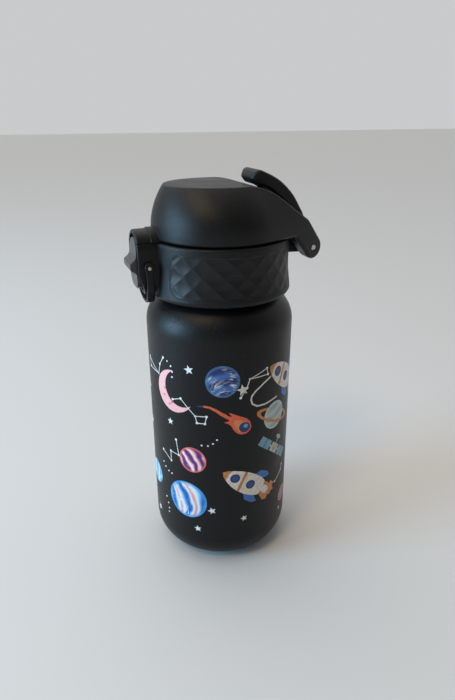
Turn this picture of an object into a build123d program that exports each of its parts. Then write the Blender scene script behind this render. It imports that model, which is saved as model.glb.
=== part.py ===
from build123d import *
import math
import os

# Kids' insulated water bottle with a flip-up, push-button lid.
# Millimetres, +Z up. The origin is the centre of the base.
# The button faces -Y and the cap's hinge lies on the +Y side.

# Body: a vacuum-insulated double wall
body_r = 35.0
foot_round = 15.6
shoulder_round = 14.9
shoulder_z = 139.5
shell_wall = 0.8
vacuum_gap = 2.7
flask_wall = 0.8
neck_r = 24.0
neck_round = 1.5
mouth_z = 154.7
base_opening_r = 18.2

# Neck thread, right-handed
thread_pitch = 4.0
thread_turns = 1.0
thread_depth = 1.2
thread_root_width = 1.6
thread_crest_width = 0.9
thread_start_z = 145.0
thread_gap = 0.4

# Lid collar
split_z = 164.3
split_gap = 0.4
collar_r = 31.9
collar_flare_r = 33.1
collar_flare_z = 140.9
collar_bottom_r = 32.3
collar_wall = 2.1
collar_bottom_z = 139.5
collar_lip_r = 28.6
flange_r = 26.4
flange_thickness = 1.4

# Grip panels let into the collar
grip_z0 = 142.5
grip_z1 = 161.2
grip_start_deg = 28.5
grip_end_deg = 152.0
grip_thickness = 1.2
grip_corner_r = 6.0
grip_gap = 0.08

# Threaded insert, spout and vent
skirt_wall = 1.8
skirt_bottom_z = 141.5
deck_z = 158.9
deck_thickness = 2.0
rib_count = 12
rib_width = 2.4
spout_y = -5.0
spout_r = 9.2
spout_bore_r = 6.6
spout_top_z = 178.0
spout_flange_r = 11.0
vent_y = 16.0
vent_stem_r = 1.5
gasket_thickness = 1.8

# Cap dome: upright side below dome_belly_z, one arc above it
dome_r = 30.6
dome_belly_z = 167.0
dome_arc_r = 36.5
cap_top_z = 187.0
narrowing_start_z = 170.0
top_narrowing = 0.19
top_edge_round = 1.2
cap_wall = 2.2
liner_gap = 0.3
liner_bevel = 0.6
slope_start_y = 13.7
slope_end_y = 28.4
slope_end_z = 176.3
arm_knee_y = 37.0
arm_knee_z = 170.9

# Rear hinge: arms outside, loop legs next, collar knuckles inside
hinge_y = 41.5
hinge_z = 157.5
hinge_pin_r = 1.5
hinge_pin_reach = 14.2
arm_end_r = 5.2
arm_tip_half_width = 11.8
arm_inner_x = 9.0
loop_outer_x = 8.6
loop_round_y = 38.0
loop_edge_round = 1.5
loop_inner_x = 5.2
knuckle_outer_x = 4.9
knuckle_inner_x = 2.6
eye_r = 3.9

# Front housing, shaped as an upright slot with round ends
pod_half_width = 8.3
pod_wall = 1.6
pod_front_y = -39.8
pod_back_y = -31.2
pod_bottom_z = 140.3
lip_top_z = 169.3
pod_slant_top_z = 151.4
pod_slant_bottom_y = -36.3

# Rocker button, its pin and the lock bail
latch_y = -35.3
latch_z = 154.0
latch_pin_r = 0.8
button_gap = 0.4
button_face_y = -40.3
button_back_y = -36.6
button_bottom_z = 143.3
button_top_z = 166.0
ridge_y = -42.9
ridge_z = 154.3
boss_r = 2.3
nose_z0 = 161.9
nose_z1 = 163.9
nose_half_width = 3.5
catch_front_y = -35.0
catch_tab_y = -33.2
bail_gap = 0.3
bail_thickness = 1.4
bail_reach = 16.2
bail_edge_round = 0.35

# General clearances
running_gap = 0.05
seat_gap = 0.02
soft_gap = 0.2
arm_gap = 0.5


def prism_x(face_yz, x0, x1):
    """A prism along X whose section is drawn with Y across and Z up."""
    return extrude(Plane.YZ.offset(x0) * face_yz, amount=x1 - x0)


def prism_y(face_xz, y0, y1):
    """A prism along Y whose section is drawn with X across and Z up."""
    return extrude(Plane.XZ.offset(-y1) * face_xz, amount=y1 - y0)


def prism_z(face_xy, z0, z1):
    """A prism along Z."""
    return extrude(Plane.XY.offset(z0) * face_xy, amount=z1 - z0)


def outline(*corners):
    """A face whose corners are (u, v, fillet radius)."""
    points = [(u, v) for u, v, _ in corners]
    radii = [r for _, _, r in corners]
    return make_face(FilletPolyline(points, radius=radii, close=True))


def box(x0, x1, y0, y1, z0, z1):
    """A block between two corners."""
    return Pos((x0 + x1) / 2, (y0 + y1) / 2, (z0 + z1) / 2) * Box(x1 - x0, y1 - y0, z1 - z0)


def spin(face_rz):
    """A solid of revolution whose half section is drawn with radius across and Z up."""
    return revolve(Plane.XZ * face_rz, axis=Axis.Z)


def ring(r0, r1, z0, z1, edge=0.0):
    """A plain ring, with its section's corners rounded by edge."""
    return spin(outline((r0, z0, edge), (r1, z0, edge), (r1, z1, edge), (r0, z1, edge)))


def disc(r, z0, z1):
    """A plain disc on the Z axis."""
    return Pos(0, 0, (z0 + z1) / 2) * Cylinder(r, z1 - z0)


def rod_x(r, x0, x1, y, z):
    """A round bar along X."""
    return Pos((x0 + x1) / 2, y, z) * Rot(0, 90, 0) * Cylinder(r, x1 - x0)


def slot_face(half_width, z0, z1):
    """An upright slot with round ends, centred on X = 0."""
    middle = (z0 + z1) / 2
    return Pos(0, middle) * Rot(0, 0, 90) * SlotOverall(z1 - z0, 2 * half_width)


def tangent_point(point, centre, radius, side):
    """Where a line from the point touches the circle, on its left (+1) or right (-1)."""
    du = point[0] - centre[0]
    dv = point[1] - centre[1]
    reach = math.hypot(du, dv)
    angle = math.atan2(dv, du) - side * math.acos(radius / reach)
    return (centre[0] + radius * math.cos(angle), centre[1] + radius * math.sin(angle))


def bottle_form(inset, neck_radius, top_z):
    """The filled outer form of the bottle, moved inwards by inset, with its neck."""
    r = body_r - inset
    z1 = shoulder_z - inset
    body = outline((0, inset, 0), (r, inset, foot_round - inset),
                   (r, z1, shoulder_round - inset), (0, z1, 0))
    neck = outline((0, z1 - shoulder_round / 2, 0), (neck_radius, z1 - shoulder_round / 2, 0),
                   (neck_radius, top_z, 0), (0, top_z, 0))
    section = body + neck
    corner = section.vertices().sort_by_distance((neck_radius, z1))[0]
    return spin(fillet(corner, neck_round))


def thread_ridge(root_r, crest_r, start_z):
    """A helical ridge with a trapezoid section, one pitch per turn."""
    path = Helix(thread_pitch, thread_pitch * thread_turns, root_r, center=(0, 0, start_z))
    half_root = thread_root_width / 2
    half_crest = thread_crest_width / 2
    depth = crest_r - root_r
    section = Polyline((0, -half_root), (depth, -half_crest), (depth, half_crest),
                       (0, half_root), close=True)
    place = Plane(origin=(root_r, 0, start_z), x_dir=(1, 0, 0), z_dir=(0, -1, 0))
    return sweep(place * make_face(section), path=path, is_frenet=True)


def make_outer_shell():
    """Outer steel wall with its thread, open at the neck and at the base."""
    top = mouth_z - flask_wall
    shell = bottle_form(0, neck_r, top)
    shell -= bottle_form(shell_wall, neck_r - shell_wall, top + 1)
    shell -= disc(base_opening_r, -1, 2 * shell_wall)
    shell += ring(base_opening_r, base_opening_r + shell_wall, shell_wall, shell_wall + 2.2)
    embed = shell_wall / 2
    shell += thread_ridge(neck_r - embed, neck_r + thread_depth, thread_start_z)
    return shell


def make_inner_flask():
    """Inner steel wall, hung from the rolled mouth."""
    inset = shell_wall + vacuum_gap
    neck = neck_r - shell_wall - 0.8
    flask = bottle_form(inset, neck, mouth_z - flask_wall)
    flask += disc(neck_r, mouth_z - flask_wall, mouth_z)
    flask -= bottle_form(inset + flask_wall, neck - flask_wall, mouth_z + 1)
    rim = flask.edges().filter_by(GeomType.CIRCLE).group_by(Axis.Z)[-1]
    return fillet(rim, 0.35)


def make_vacuum_base():
    """Dished disc that closes the vacuum space, welded inside the shell's base flange."""
    r = base_opening_r - seat_gap
    z = shell_wall + soft_gap
    floor = disc(r, z, z + shell_wall)
    rim = ring(r - shell_wall, r, z, z + 2.0)
    dimple = disc(2.5, z + shell_wall, z + shell_wall + 0.5)
    return floor + rim + dimple


def make_base_disc():
    """Cosmetic disc that covers the weld and carries the bottle."""
    plate = disc(base_opening_r - 0.2, 0, shell_wall)
    return fillet(plate.edges().group_by(Axis.Z)[0], 0.2)


def make_getter():
    """Getter button under the inner flask, inside the vacuum space."""
    top = shell_wall + vacuum_gap - seat_gap
    return disc(7.0, top - 1.0, top)


def skirt_inner_r():
    """The insert's bore, which clears the neck thread."""
    return neck_r + thread_depth + thread_gap


def make_neck_gasket():
    """Silicone ring between the mouth and the insert's deck."""
    under_deck = deck_z - deck_thickness
    z1 = under_deck - soft_gap
    z0 = mouth_z + soft_gap
    gasket_inner_r = neck_r - 2.2
    return ring(gasket_inner_r, skirt_inner_r() - 0.8, z0, z1, 0.4)


def make_spout_insert():
    """Threaded insert: skirt, ribs that key into the collar, deck and guide ring."""
    bore = skirt_inner_r()
    outer = bore + skirt_wall
    under_deck = deck_z - deck_thickness
    insert = ring(bore, outer, skirt_bottom_z, deck_z)
    insert += disc(outer, under_deck, deck_z)
    rib_reach = collar_r - collar_wall - seat_gap
    for i in range(rib_count):
        turn = (i + 0.5) * 360 / rib_count
        rib = box(bore + 0.5, rib_reach, -rib_width / 2, rib_width / 2, skirt_bottom_z, deck_z)
        limit = disc(rib_reach, skirt_bottom_z, deck_z)
        insert += Rot(0, 0, turn) * (rib & limit)
    embed = 0.3
    insert += thread_ridge(bore + embed, bore - thread_depth, thread_start_z - thread_pitch / 2)
    guide_r = neck_r - 2.8
    insert += ring(guide_r - 0.8, guide_r, under_deck - 6, under_deck)
    insert -= Pos(0, spout_y, 0) * disc(spout_r + running_gap, under_deck - 1, deck_z + 1)
    insert -= Pos(0, vent_y, 0) * disc(vent_stem_r + running_gap, under_deck - 1, deck_z + 1)
    return insert


def make_spout():
    """Drinking spout, seated on the deck by its flange."""
    foot_z = deck_z - deck_thickness
    z0 = deck_z + seat_gap
    section = outline((spout_bore_r, foot_z, 0.3), (spout_r, foot_z, 0.3), (spout_r, z0, 0),
                      (spout_flange_r, z0, 0), (spout_flange_r, z0 + 1.2, 0.5),
                      (spout_r - 0.4, z0 + 2.4, 1.5), (spout_r - 0.8, spout_top_z - 4, 8),
                      (spout_r, spout_top_z, 0.8), (spout_bore_r, spout_top_z, 0.8))
    return Pos(0, spout_y, 0) * spin(section)


def make_vent_valve():
    """Silicone umbrella valve that lets air in through the deck."""
    under_deck = deck_z - deck_thickness
    stem = disc(vent_stem_r, under_deck - 1.6, deck_z + 0.5)
    umbrella = ring(0, 4.2, deck_z + seat_gap, deck_z + 1.2)
    bulb = ring(0, 2.2, under_deck - 1.4, under_deck - seat_gap)
    return Pos(0, vent_y, 0) * (stem + umbrella + bulb)


def collar_form(r_inner, z0, z1):
    """The collar's flared outer form between two heights, with a plain bore."""
    section = outline((r_inner, collar_bottom_z, 0), (collar_bottom_r, collar_bottom_z, 0.3),
                      (collar_flare_r, collar_flare_z, 0.8), (collar_r, 151.0, 45.0),
                      (collar_r, split_z - split_gap / 2, 0.9),
                      (r_inner, split_z - split_gap / 2, 0))
    return spin(section) & box(-50, 50, -50, 50, z0, z1)


def grip_sector(side, grow):
    """A curved panel on one side of the lid, with round corners, grown by a gap."""
    r0 = collar_r - grip_thickness - grow
    r1 = collar_flare_r + 3
    grow_deg = math.degrees(grow / collar_r)
    sweep_deg = grip_end_deg - grip_start_deg + 2 * grow_deg
    section = outline((r0, grip_z0 - grow, 0), (r1, grip_z0 - grow, 0),
                      (r1, grip_z1 + grow, 0), (r0, grip_z1 + grow, 0))
    sector = revolve(Plane.XZ * section, axis=Axis.Z, revolution_arc=sweep_deg)
    corners = sector.edges().filter_by(GeomType.LINE).filter_by(Axis.Z, reverse=True)
    sector = fillet(corners, grip_corner_r + grow)
    sector = Rot(0, 0, -90 + grip_start_deg - grow_deg) * sector
    if side < 0:
        sector = mirror(sector, about=Plane.YZ)
    return sector


def make_grip_panel(side):
    """Soft grip panel, flush with the collar."""
    return grip_sector(side, 0) & collar_form(collar_r - grip_thickness - 1, grip_z0, grip_z1)


def pod_prism(shrink, y0, y1):
    """The front housing's slot-shaped block, moved inwards by shrink."""
    face = slot_face(pod_half_width - shrink, pod_bottom_z + shrink, lip_top_z - shrink)
    return prism_y(face, y0, y1)


def slanted_front():
    """The wedge in front of the housing's lower end, which is cut away."""
    low_z = collar_bottom_z - 5
    drop = (pod_slant_bottom_y - pod_front_y) / (pod_slant_top_z - pod_bottom_z)
    low_y = pod_front_y + drop * (pod_slant_top_z - low_z)
    wedge = outline((pod_front_y, pod_slant_top_z, 0), (low_y, low_z, 0),
                    (pod_front_y - 10, low_z, 0), (pod_front_y - 10, pod_slant_top_z, 0))
    return prism_x(wedge, -20, 20)


def make_lid_collar():
    """Lower lid ring with the button housing in front and two hinge knuckles behind."""
    top = split_z - split_gap / 2
    bore = collar_r - collar_wall
    collar = collar_form(bore, collar_bottom_z, top)
    flange_z = deck_z + soft_gap
    collar += ring(flange_r, bore + 0.5, flange_z, flange_z + flange_thickness)
    collar += ring(collar_lip_r, bore + 0.5, flange_z, top)
    for side in (1, -1):
        collar -= grip_sector(side, grip_gap)
    pod = pod_prism(0, pod_front_y, -collar_r + 1.5) & box(-20, 20, -60, 0, 0, top)
    pod -= slanted_front()
    front_edges = pod.edges().group_by(Axis.Y)[0]
    pod = fillet(front_edges.filter_by(Axis.Z), 0.5)
    pod -= disc(bore, 0, 200)
    collar += pod
    collar -= pod_prism(pod_wall, pod_front_y - 10, pod_back_y)
    detent_x = pod_half_width + bail_gap - 0.1
    collar += rod_x(0.5, -detent_x, -pod_half_width + 0.5, latch_y, latch_z + 3.4)
    collar += rod_x(0.5, pod_half_width - 0.5, detent_x, latch_y, latch_z + 3.4)
    collar -= rod_x(latch_pin_r + seat_gap, -15, 15, latch_y, latch_z)
    eye = (hinge_y, hinge_z)
    root_top = (collar_r - 1, split_z - 2.5)
    root_bottom = (collar_r - 1, hinge_z - eye_r + 0.5)
    touch_top = tangent_point(root_top, eye, eye_r, 1)
    touch_bottom = tangent_point(root_bottom, eye, eye_r, -1)
    web = make_face(Polyline(root_top, touch_top, eye, touch_bottom, root_bottom, close=True))
    for x0, x1 in ((knuckle_inner_x, knuckle_outer_x), (-knuckle_outer_x, -knuckle_inner_x)):
        knuckle = prism_x(web, x0, x1) + rod_x(eye_r, x0, x1, hinge_y, hinge_z)
        collar += knuckle
    collar -= rod_x(hinge_pin_r + seat_gap, -20, 20, hinge_y, hinge_z)
    return collar


def dome_radius(z):
    """The dome's front-to-back radius at a height."""
    rise = max(0.0, z - dome_belly_z)
    return dome_r - dome_arc_r + math.sqrt(dome_arc_r ** 2 - rise ** 2)


def narrowing(z):
    """How much narrower than long the cap is at a height, as a factor on X."""
    share = max(0.0, z - narrowing_start_z) / (cap_top_z - narrowing_start_z)
    return 1 - top_narrowing * share ** 2


def cap_levels(z0):
    """Heights of the cap's lofted sections."""
    return [z0, dome_belly_z, 172.0, 177.0, 182.0, cap_top_z + 1]


def dome_form(inset, z0):
    """The filled dome, moved inwards by inset, from z0 to above the cap's top."""
    ovals = []
    for z in cap_levels(z0):
        r = dome_radius(z)
        ovals.append(Plane.XY.offset(z) * Ellipse(r * narrowing(z) - inset, r - inset))
    return loft(ovals)


def teardrop(z):
    """The cap's plan at a height: the dome's circle drawn out to the hinge arms."""
    r = dome_radius(z)
    corner_r = 1.5
    cx = arm_tip_half_width - corner_r
    cy = hinge_y + arm_end_r + 1
    reach = math.hypot(cx, cy)
    normal = math.atan2(cy, cx) - math.acos((r - corner_r) / reach)
    nx = math.cos(normal)
    ny = math.sin(normal)
    a = (r * nx, r * ny)
    b = (cx + corner_r * nx, cy + corner_r * ny)
    half = math.radians(90) / 2 + normal / 2
    middle = (cx + corner_r * math.cos(half), cy + corner_r * math.sin(half))
    c = (cx, cy + corner_r)
    right = [Line(a, b), ThreePointArc(b, middle, c)]
    left = [Line((-b[0], b[1]), (-a[0], a[1])),
            ThreePointArc((-c[0], c[1]), (-middle[0], middle[1]), (-b[0], b[1]))]
    edges = right + [Line(c, (-c[0], c[1]))] + left
    edges.append(ThreePointArc((-a[0], a[1]), (0, -r), a))
    return Plane.XY.offset(z) * scale(make_face(edges), by=(narrowing(z), 1, 1))


def cap_side(drop, bottom_z):
    """The cap's side outline, with its top lowered by drop."""
    eye = (hinge_y, hinge_z)
    knee = (arm_knee_y, arm_knee_z - drop)
    right = tangent_point(knee, eye, arm_end_r, 1)
    rise = (knee[1] - right[1]) / (right[0] - knee[0])
    length = math.hypot(1, rise)
    left = (eye[0] - arm_end_r * rise / length, eye[1] - arm_end_r / length)
    arch_y = left[0] - (bottom_z - left[1]) / rise
    body = outline((-60, cap_top_z - drop, 0), (slope_start_y, cap_top_z - drop, 27),
                   (slope_end_y, slope_end_z - drop, 20), (*knee, 7), (*right, 0),
                   (*eye, 0), (*left, 0), (arch_y, bottom_z, 2), (-60, bottom_z, 0))
    return body + Pos(*eye) * Circle(arm_end_r)


def make_cap_shell():
    """Flip-up cap: dome, rear arms, front lip and the catch behind the button."""
    bottom = split_z + split_gap / 2
    form = loft([teardrop(z) for z in cap_levels(bottom)])
    form += prism_z(Plane.XY.offset(-bottom) * teardrop(bottom), hinge_z - 10, bottom)
    cap = form & prism_x(cap_side(0, bottom), -40, 40)
    rim = cap.faces().sort_by(Axis.Z)[-1].outer_wire().edges().filter_by(Axis.X, reverse=True)
    cap = fillet(rim, top_edge_round)
    cap -= disc(collar_r + arm_gap, hinge_z - 10, bottom)
    slot = box(-arm_inner_x, arm_inner_x, 20, 60, 140, 200) - dome_form(0, 130)
    cap -= slot
    hollow = dome_form(cap_wall, bottom - 1)
    hollow &= prism_x(cap_side(cap_wall, bottom - 1), -40, 40)
    cap -= hollow
    lip = pod_prism(0, pod_front_y, -dome_r + 1.5) & box(-20, 20, -60, 0, bottom, 200)
    lip_front = lip.edges().group_by(Axis.Y)[0]
    lip = fillet(lip_front.filter_by(GeomType.CIRCLE), 0.8)
    step = prism_y(slot_face(pod_half_width + 0.5, pod_bottom_z, lip_top_z + 0.5),
                   catch_tab_y - 0.2, -dome_r + 1.5) & box(-20, 20, -60, 0, bottom, 200)
    cap += lip
    cap += step
    cap -= pod_prism(pod_wall, pod_front_y - 10, catch_tab_y)
    tab = box(-4, 4, catch_tab_y, pod_back_y - 0.4, nose_z0 - 2.3, bottom + 1)
    tooth = box(-4, 4, catch_front_y, catch_tab_y, nose_z0 - 2.3, nose_z0 - 0.4)
    cap += tab + tooth
    web = box(-arm_inner_x - 1, arm_inner_x + 1, dome_r - 1.5, collar_r + 1.2, bottom, bottom + 2)
    cap += web
    cap -= rod_x(hinge_pin_r + running_gap, -20, 20, hinge_y, hinge_z)
    return cap


def make_cap_liner():
    """Cup under the cap's top that holds the spout seal."""
    ceiling = cap_top_z - cap_wall - liner_gap
    plate = disc(13.6, spout_top_z + 3.8, ceiling)
    plate = chamfer(plate.edges().sort_by(Axis.Z)[-1], liner_bevel)
    wall = ring(11.8, 13.6, spout_top_z + 1.6, ceiling - liner_bevel)
    return Pos(0, spout_y, 0) * (plate + wall)


def make_spout_seal():
    """Silicone pad with a tapered plug that closes the spout."""
    face = spout_top_z + 0.3
    section = outline((0, face - 1.3, 0), (spout_bore_r - 1.4, face - 1.3, 0.3),
                      (spout_bore_r - 0.8, face, 0), (11.6, face, 0.5),
                      (11.6, spout_top_z + 3.7, 0.5), (0, spout_top_z + 3.7, 0))
    return Pos(0, spout_y, 0) * spin(section)


def make_hinge_pin():
    """Steel pin through arms, loop and knuckles."""
    pin = rod_x(hinge_pin_r, -hinge_pin_reach, hinge_pin_reach, hinge_y, hinge_z)
    ends = pin.edges().filter_by(GeomType.CIRCLE)
    return chamfer(ends, 0.25)


def coil_x(mean_r, wire_r, x0, x1, turns):
    """A helical coil along X."""
    path = Helix((x1 - x0) / turns, x1 - x0, mean_r)
    section = Plane(origin=path @ 0, z_dir=path % 0) * Circle(wire_r)
    return Pos(x0, 0, 0) * Rot(0, 90, 0) * sweep(section, path=path, is_frenet=True)


def make_lid_spring():
    """Torsion spring on the pin: one leg under the cap's web, one on the collar."""
    mean_r = 2.2
    wire_r = 0.35
    reach_x = knuckle_inner_x - 0.6
    coil = Pos(0, hinge_y, hinge_z) * coil_x(mean_r, wire_r, -reach_x, reach_x, 4)
    web_z = split_z + split_gap / 2 - wire_r - 0.15
    upper_end = (collar_r + 0.5, web_z)
    lower_end = (collar_r + wire_r + 0.15, hinge_z - 3)
    legs = []
    for x, end, side in ((reach_x, upper_end, 1), (-reach_x, lower_end, -1)):
        start = tangent_point(end, (hinge_y, hinge_z), mean_r, side)
        line = Line((x, *start), (x, *end))
        legs.append(sweep(Plane(origin=line @ 0, z_dir=line % 0) * Circle(wire_r), path=line))
    return coil + legs[0] + legs[1]


def make_carry_loop():
    """Finger loop on the hinge pin, folded forward over the cap."""
    eye = (hinge_y, hinge_z)
    back = (38.4, 173.0)
    belly = (35.6, 166.5)
    right = tangent_point(back, eye, eye_r, 1)
    left = tangent_point(belly, eye, eye_r, -1)
    side = outline((12.8, 188.4, 1.6), (15.4, 192.8, 2.6), (26.6, 187.9, 30), (33.8, 180.6, 30),
                   (*back, 14), (*right, 0), (*eye, 0), (*left, 0), (*belly, 8),
                   (30.4, 176.4, 12), (20.8, 184.2, 8), (15.8, 185.8, 2))
    loop = prism_x(side, -loop_outer_x, loop_outer_x)
    loop += rod_x(eye_r, -loop_outer_x, loop_outer_x, hinge_y, hinge_z)
    plan = outline((-loop_outer_x, 11.6, 7.5), (loop_outer_x, 11.6, 7.5), (loop_outer_x, 50, 0),
                   (-loop_outer_x, 50, 0))
    loop &= prism_z(plan, 140, 200)
    hole = outline((-loop_inner_x, 18.5, 4), (loop_inner_x, 18.5, 4), (loop_inner_x, 55, 0),
                   (-loop_inner_x, 55, 0))
    loop -= prism_z(hole, 140, 200)
    edges = loop.edges().filter_by(lambda edge: edge.center().Y < loop_round_y and edge.length > 0.6)
    loop = fillet(edges, loop_edge_round)
    return loop - rod_x(hinge_pin_r + running_gap, -20, 20, hinge_y, hinge_z)


def make_latch_button():
    """Rocker button with a thumb ridge in front and a hook nose behind its top."""
    side = outline((button_back_y, button_bottom_z, 0.5), (button_face_y + 0.4, button_bottom_z, 1.2),
                   (button_face_y, ridge_z - 3.2, 2.0), (ridge_y, ridge_z - 1.4, 1.0),
                   (ridge_y, ridge_z + 1.4, 1.1), (button_face_y, ridge_z + 3.4, 3.0),
                   (button_face_y + 0.6, button_top_z, 1.0), (button_back_y, button_top_z, 0.5))
    half = pod_half_width - pod_wall - button_gap
    button = prism_x(side, -half, half)
    button &= prism_y(slot_face(half, button_bottom_z, button_top_z), -60, 0)
    button += rod_x(boss_r, -half, half, latch_y, latch_z)
    button += box(-nose_half_width, nose_half_width, button_back_y - 1, catch_tab_y - 0.3,
                  nose_z0, nose_z1)
    button -= rod_x(latch_pin_r + running_gap, -10, 10, latch_y, latch_z)
    pocket = Pos(0, button_back_y - 0.2, spring_z()) * Rot(90, 0, 0) * Cylinder(2.6, 2.0)
    return button - pocket


def spring_z():
    """Height of the button's return spring."""
    return latch_z - 6.5


def make_latch_spring():
    """Compression spring between the housing's back wall and the button's lower half."""
    mean_r = 1.9
    wire_r = 0.25
    y0 = button_back_y - 1.2 + wire_r + 0.1
    y1 = pod_back_y - wire_r - 0.1
    coil = coil_x(mean_r, wire_r, y0, y1, 4)
    return Pos(0, 0, spring_z()) * Rot(0, 0, 90) * coil


def make_latch_pin():
    """Small metal pin through bail, housing and button."""
    reach = pod_half_width + bail_gap + bail_thickness + 0.15
    pin = rod_x(latch_pin_r, -reach, reach, latch_y, latch_z)
    return fillet(pin.edges().filter_by(GeomType.CIRCLE), 0.2)


def make_lock_bail():
    """U-shaped bail that hangs on the latch pin."""
    inner = pod_half_width + bail_gap
    outer = inner + bail_thickness
    bend_z = latch_z - bail_reach + inner
    bottom = latch_z - bail_reach - bail_thickness
    band = slot_face(outer, bottom, latch_z + 20) - slot_face(inner, bottom + bail_thickness, latch_z + 20)
    strap = prism_y(band, -60, 0)
    side = outline((latch_y - 2.4, latch_z + 2.4, 2.0), (latch_y + 2.3, latch_z + 2.4, 2.0),
                   (latch_y + 1.4, bend_z + 2, 10), (latch_y + 2.7, bottom - 1, 0.5),
                   (latch_y - 0.6, bottom - 1, 0.5), (latch_y - 1.6, bend_z - 4, 8),
                   (latch_y - 1.4, bend_z + 2.5, 8))
    bail = strap & prism_x(side, -20, 20)
    ends = bail.edges().filter_by(lambda edge: edge.center().Z < latch_z - 4 and edge.length > 0.5)
    bail = fillet(ends, bail_edge_round)
    return bail - rod_x(latch_pin_r + running_gap, -20, 20, latch_y, latch_z)


makers = {
    "outer_shell": make_outer_shell,
    "inner_flask": make_inner_flask,
    "vacuum_base": make_vacuum_base,
    "base_disc": make_base_disc,
    "getter": make_getter,
    "neck_gasket": make_neck_gasket,
    "spout_insert": make_spout_insert,
    "spout": make_spout,
    "vent_valve": make_vent_valve,
    "lid_collar": make_lid_collar,
    "grip_panel_right": lambda: make_grip_panel(1),
    "grip_panel_left": lambda: make_grip_panel(-1),
    "cap_shell": make_cap_shell,
    "cap_liner": make_cap_liner,
    "spout_seal": make_spout_seal,
    "hinge_pin": make_hinge_pin,
    "lid_spring": make_lid_spring,
    "carry_loop": make_carry_loop,
    "latch_button": make_latch_button,
    "latch_spring": make_latch_spring,
    "latch_pin": make_latch_pin,
    "lock_bail": make_lock_bail,
}

os.makedirs("parts", exist_ok=True)
for node, make in makers.items():
    export_step(make(), "parts/" + node + ".step")
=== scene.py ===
import math

import bmesh
import bpy
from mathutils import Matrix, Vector


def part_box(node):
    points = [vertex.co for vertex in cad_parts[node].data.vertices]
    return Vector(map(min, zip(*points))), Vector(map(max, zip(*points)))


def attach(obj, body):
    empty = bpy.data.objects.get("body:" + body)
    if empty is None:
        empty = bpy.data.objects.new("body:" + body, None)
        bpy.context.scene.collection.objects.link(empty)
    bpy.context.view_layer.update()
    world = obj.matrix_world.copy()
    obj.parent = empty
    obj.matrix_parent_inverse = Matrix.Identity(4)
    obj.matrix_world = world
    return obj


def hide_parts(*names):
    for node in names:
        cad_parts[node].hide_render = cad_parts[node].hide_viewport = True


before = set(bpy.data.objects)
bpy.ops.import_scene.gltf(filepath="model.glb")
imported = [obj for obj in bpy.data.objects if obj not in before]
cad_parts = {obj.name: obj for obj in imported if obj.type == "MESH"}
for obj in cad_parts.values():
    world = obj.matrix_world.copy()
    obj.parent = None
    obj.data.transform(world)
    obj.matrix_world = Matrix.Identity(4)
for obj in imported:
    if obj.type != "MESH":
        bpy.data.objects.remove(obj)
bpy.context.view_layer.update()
mm = 0.001

# shader helpers


def fill(tree, socket, value):
    # gives a socket a constant or another node's output
    if isinstance(value, bpy.types.NodeSocket):
        tree.links.new(value, socket)
    else:
        socket.default_value = value


def addNode(tree, kind, settings=None, **values):
    # values are socket names with the spaces left out
    node = tree.nodes.new(kind)
    for key, value in (settings or {}).items():
        setattr(node, key, value)
    for key, value in values.items():
        socket = next(s for s in node.inputs if s.name.replace(" ", "") == key and s.enabled)
        fill(tree, socket, value)
    return node


def calculate(tree, how, *values, kind="ShaderNodeMath"):
    node = tree.nodes.new(kind)
    node.operation = how
    for socket, value in zip(node.inputs, values):
        fill(tree, socket, value)
    return node.outputs["Value"]


def stretched(tree, value, span, result=(0.0, 1.0)):
    # maps a span onto a result, held at both ends
    node = addNode(tree, "ShaderNodeMapRange", Value=value, FromMin=span[0], FromMax=span[1],
                   ToMin=result[0], ToMax=result[1])
    return node.outputs[0]


def mixColour(tree, mask, first, second):
    node = tree.nodes.new("ShaderNodeMix")
    node.data_type = "RGBA"
    ends = [s for s in node.inputs if s.type == "RGBA"]
    factor = next(s for s in node.inputs if s.name == "Factor" and s.type == "VALUE")
    tree.links.new(mask, factor)
    for socket, value in zip(ends, (first, second)):
        fill(tree, socket, value if isinstance(value, bpy.types.NodeSocket) else (*value, 1))
    return next(s for s in node.outputs if s.type == "RGBA")


def objectPlace(tree):
    return tree.nodes.new("ShaderNodeTexCoord").outputs["Object"]


def flatPlace(tree):
    return tree.nodes.new("ShaderNodeUVMap").outputs["UV"]


# camera, lights and room

view = {"place": (0.22988, -0.08857, 0.21528), "towards": (-0.8481, 0.3426, -0.4042),
        "lens": 27.77, "nearest": 0.01}
areaLights = {
    "windowLight": {"place": (-0.08, -1.15, 0.34), "aim": (0, 0, 0.13), "size": (0.5, 0.62),
                    "watts": 17, "colour": (0.42, 0.72, 1.0)},
    "lampLight": {"place": (0.38, -0.57, 1.05), "aim": (0, 0, 0.14), "size": (0.25, 0.25),
                  "watts": 3.2, "colour": (1.0, 0.72, 0.42)},
}
roomLight = {"towards": (0.45, 0.25, -1.0), "strength": 1.35, "angle": 75,
             "colour": (1.0, 0.99, 0.97)}
room = {"paleSide": (-0.80, 0.55, 0.10), "edge": (-0.25, 0.55), "strength": (0.16, 0.60),
        "colour": (0.98, 0.99, 1.0)}


def aimed(direction):
    return Vector(direction).to_track_quat("-Z", "Y").to_euler()


def addCamera():
    data = bpy.data.cameras.new("camera")
    data.lens = view["lens"]
    data.clip_start = view["nearest"]
    camera = bpy.data.objects.new("camera", data)
    camera.location = view["place"]
    camera.rotation_euler = aimed(view["towards"])
    bpy.context.collection.objects.link(camera)
    bpy.context.scene.camera = camera


def addAreaLight(name, look):
    data = bpy.data.lights.new(name, "AREA")
    data.shape = "RECTANGLE"
    data.size, data.size_y = look["size"]
    data.energy = look["watts"]
    data.color = look["colour"]
    lamp = bpy.data.objects.new(name, data)
    lamp.location = look["place"]
    lamp.rotation_euler = aimed(Vector(look["aim"]) - Vector(look["place"]))
    bpy.context.collection.objects.link(lamp)


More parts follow.
